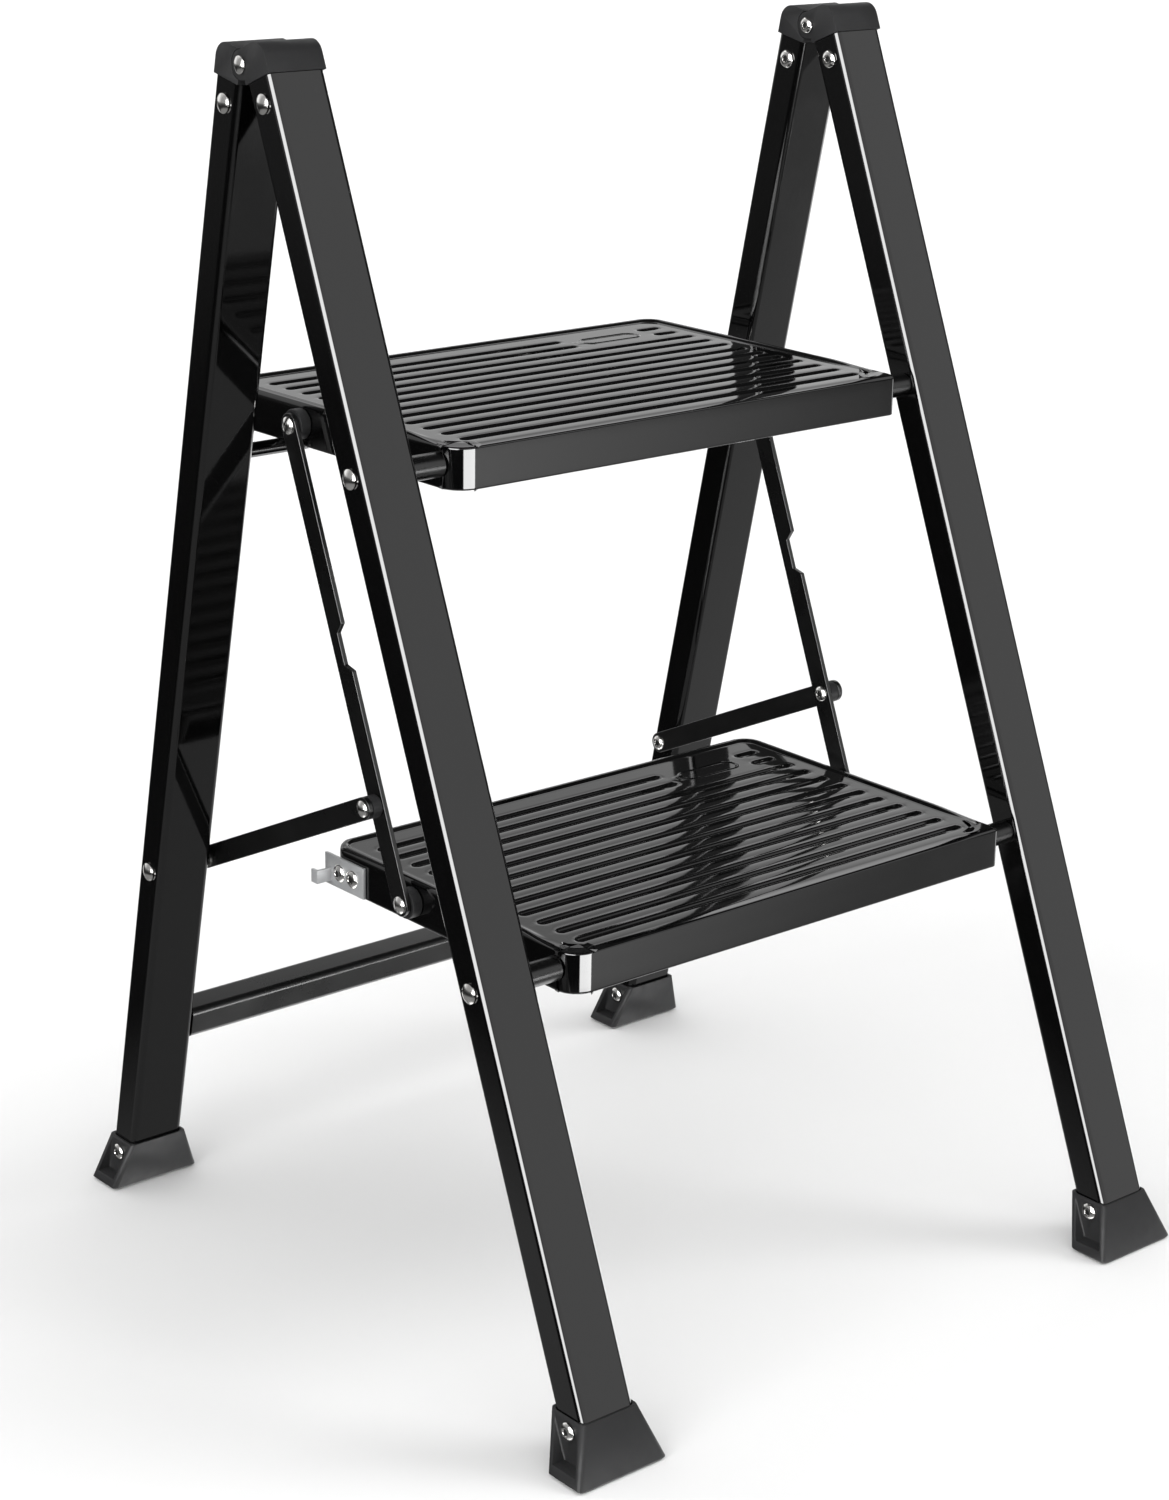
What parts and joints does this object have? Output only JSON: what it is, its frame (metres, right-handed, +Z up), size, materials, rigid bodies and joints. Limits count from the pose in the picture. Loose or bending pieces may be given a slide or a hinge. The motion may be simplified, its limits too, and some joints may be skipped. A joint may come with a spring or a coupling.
{
  "type": "folding step ladder",
  "caption": "Folding step ladder: a painted steel front frame carries pressed, grooved steps; the rear frame folds flat on links; plastic feet and hinge caps.",
  "frame": {"origin": "on the ground, at the middle of the footprint of the open ladder", "axes": "+Z up, -Y towards the user who climbs, +X to that user's right, across the steps"},
  "size_m": [0.4246, 0.4313, 0.6457],
  "materials": {
    "enamel": "gloss black enamel on steel tube and sheet",
    "plastic": "satin black moulded plastic",
    "nickel": "bright nickel plate on steel rivets and rods",
    "zinc": "zinc plate on steel sheet"
  },
  "bodies": {
    "front_frame": {"left_front_cap_rivet": "nickel", "left_front_foot": "plastic", "left_front_foot_rivet": "nickel", "left_front_hinge_cap": "plastic", "left_front_leg": "enamel", "left_hinge_pin": "nickel", "lower_left_rod_spacer": "enamel", "lower_right_rod_spacer": "enamel", "lower_step_rod": "nickel", "right_front_cap_rivet": "nickel", "right_front_foot": "plastic", "right_front_foot_rivet": "nickel", "right_front_hinge_cap": "plastic", "right_front_leg": "enamel", "right_hinge_pin": "nickel", "upper_left_rod_spacer": "enamel", "upper_right_rod_spacer": "enamel", "upper_step_rod": "nickel"},
    "rear_frame": {"left_brace_pivot_outer_rivet": "nickel", "left_rear_cap_rivet": "nickel", "left_rear_foot": "plastic", "left_rear_foot_rivet": "nickel", "left_rear_hinge_cap": "plastic", "left_rear_leg": "enamel", "lower_rear_crossbar": "enamel", "right_brace_pivot_outer_rivet": "nickel", "right_rear_cap_rivet": "nickel", "right_rear_foot": "plastic", "right_rear_foot_rivet": "nickel", "right_rear_hinge_cap": "plastic", "right_rear_leg": "enamel", "upper_rear_crossbar": "enamel"},
    "upper_step_assembly": {"upper_left_link_rivet": "nickel", "upper_left_link_spacer": "plastic", "upper_right_link_rivet": "nickel", "upper_right_link_spacer": "plastic", "upper_step": "enamel"},
    "lower_step_assembly": {"catch_front_rivet": "nickel", "catch_plate": "zinc", "catch_rear_rivet": "nickel", "lower_left_link_rivet": "nickel", "lower_left_link_spacer": "plastic", "lower_right_link_rivet": "nickel", "lower_right_link_spacer": "plastic", "lower_step": "enamel"},
    "left_long_link_assembly": {"left_brace_rivet": "nickel", "left_brace_spacer": "plastic", "left_long_link": "enamel"},
    "right_long_link_assembly": {"right_brace_rivet": "nickel", "right_brace_spacer": "plastic", "right_long_link": "enamel"},
    "left_short_link_assembly": {"left_brace_pivot_inner_rivet": "nickel", "left_brace_pivot_washer": "nickel", "left_short_link": "enamel"},
    "right_short_link_assembly": {"right_brace_pivot_inner_rivet": "nickel", "right_brace_pivot_washer": "nickel", "right_short_link": "enamel"}
  },
  "joints": [
    {"name": "rear_fold", "type": "hinge", "parent": "front_frame", "child": "rear_frame", "pos_m": [0, 0.05991, 0.634], "axis": [-1, 0, 0], "range_deg": [0, 33]},
    {"name": "upper_step_tilt", "type": "hinge", "parent": "front_frame", "child": "upper_step_assembly", "pos_m": [0, -0.02463, 0.45023], "axis": [1, 0, 0], "range_deg": [0, 64.28]},
    {"name": "lower_step_tilt", "type": "hinge", "parent": "front_frame", "child": "lower_step_assembly", "pos_m": [0, -0.11651, 0.21935], "axis": [1, 0, 0], "range_deg": [0, 64.28]},
    {"name": "left_long_link_turn", "type": "hinge", "parent": "upper_step_assembly", "child": "left_long_link_assembly", "pos_m": [0, 0.08837, 0.45023], "axis": [-1, 0, 0], "range_deg": [0, 64.28]},
    {"name": "left_short_link_turn", "type": "hinge", "parent": "left_long_link_assembly", "child": "left_short_link_assembly", "pos_m": [0, 0.01564, 0.26747], "axis": [-1, 0, 0], "range_deg": [0, 80.13]},
    {"name": "right_long_link_turn", "type": "hinge", "parent": "upper_step_assembly", "child": "right_long_link_assembly", "pos_m": [0, 0.08837, 0.45023], "axis": [-1, 0, 0], "range_deg": [0, 64.28]},
    {"name": "right_short_link_turn", "type": "hinge", "parent": "right_long_link_assembly", "child": "right_short_link_assembly", "pos_m": [0, 0.01564, 0.26747], "axis": [-1, 0, 0], "range_deg": [0, 80.13]}
  ],
  "couplings": [
    {"joint": "upper_step_tilt", "follows": "rear_fold", "ratio": 1.948},
    {"joint": "lower_step_tilt", "follows": "rear_fold", "ratio": 1.948},
    {"joint": "left_long_link_turn", "follows": "rear_fold", "ratio": 1.948},
    {"joint": "left_short_link_turn", "follows": "rear_fold", "ratio": 2.4283},
    {"joint": "right_long_link_turn", "follows": "rear_fold", "ratio": 1.948},
    {"joint": "right_short_link_turn", "follows": "rear_fold", "ratio": 2.4283}
  ]
}
